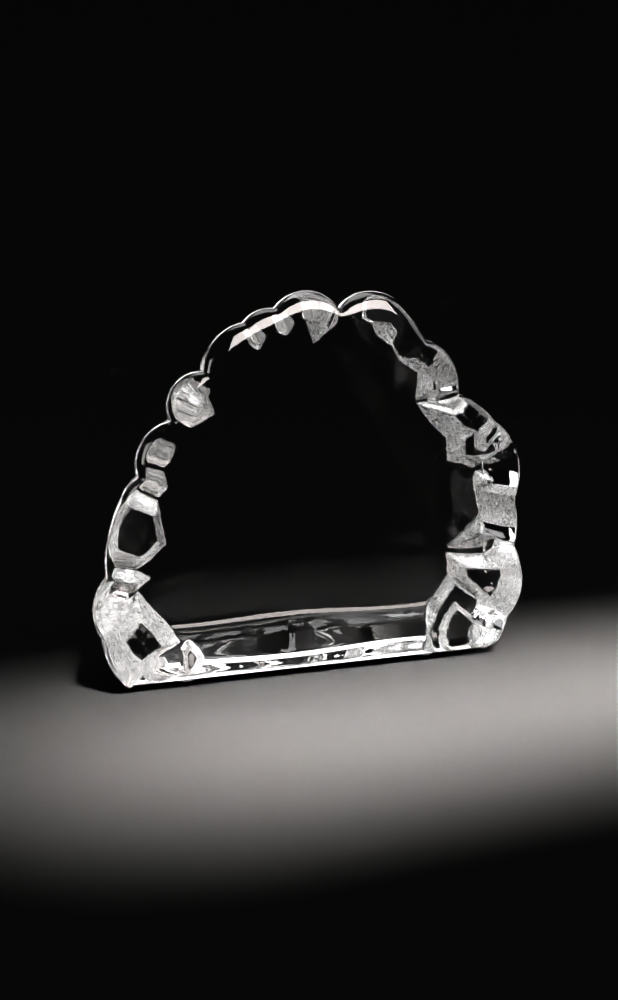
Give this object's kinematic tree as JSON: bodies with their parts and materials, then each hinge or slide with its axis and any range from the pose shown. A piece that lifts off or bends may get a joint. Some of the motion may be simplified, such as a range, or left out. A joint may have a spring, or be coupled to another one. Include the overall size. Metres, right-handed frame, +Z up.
{
  "type": "glass sculpture",
  "caption": "Free-standing slab of clear cast crystal with a flat polished face and a chipped, knobbly rim like broken ice, on clear stick-on pads.",
  "frame": {"origin": "middle of the footprint at table level, under the middle of the bounding box", "axes": "+X across the polished face to the viewer's right, +Y from the polished face to the back, +Z up"},
  "size_m": [0.1481, 0.04, 0.1208],
  "materials": {
    "crystal": "clear cast crystal, fire-polished front, satin facets round the rim",
    "pad": "clear soft silicone, smooth"
  },
  "bodies": {
    "root": {"glass_block": "crystal", "foot_front_left": "pad", "foot_front_right": "pad", "foot_back_left": "pad", "foot_back_right": "pad"}
  },
  "joints": []
}
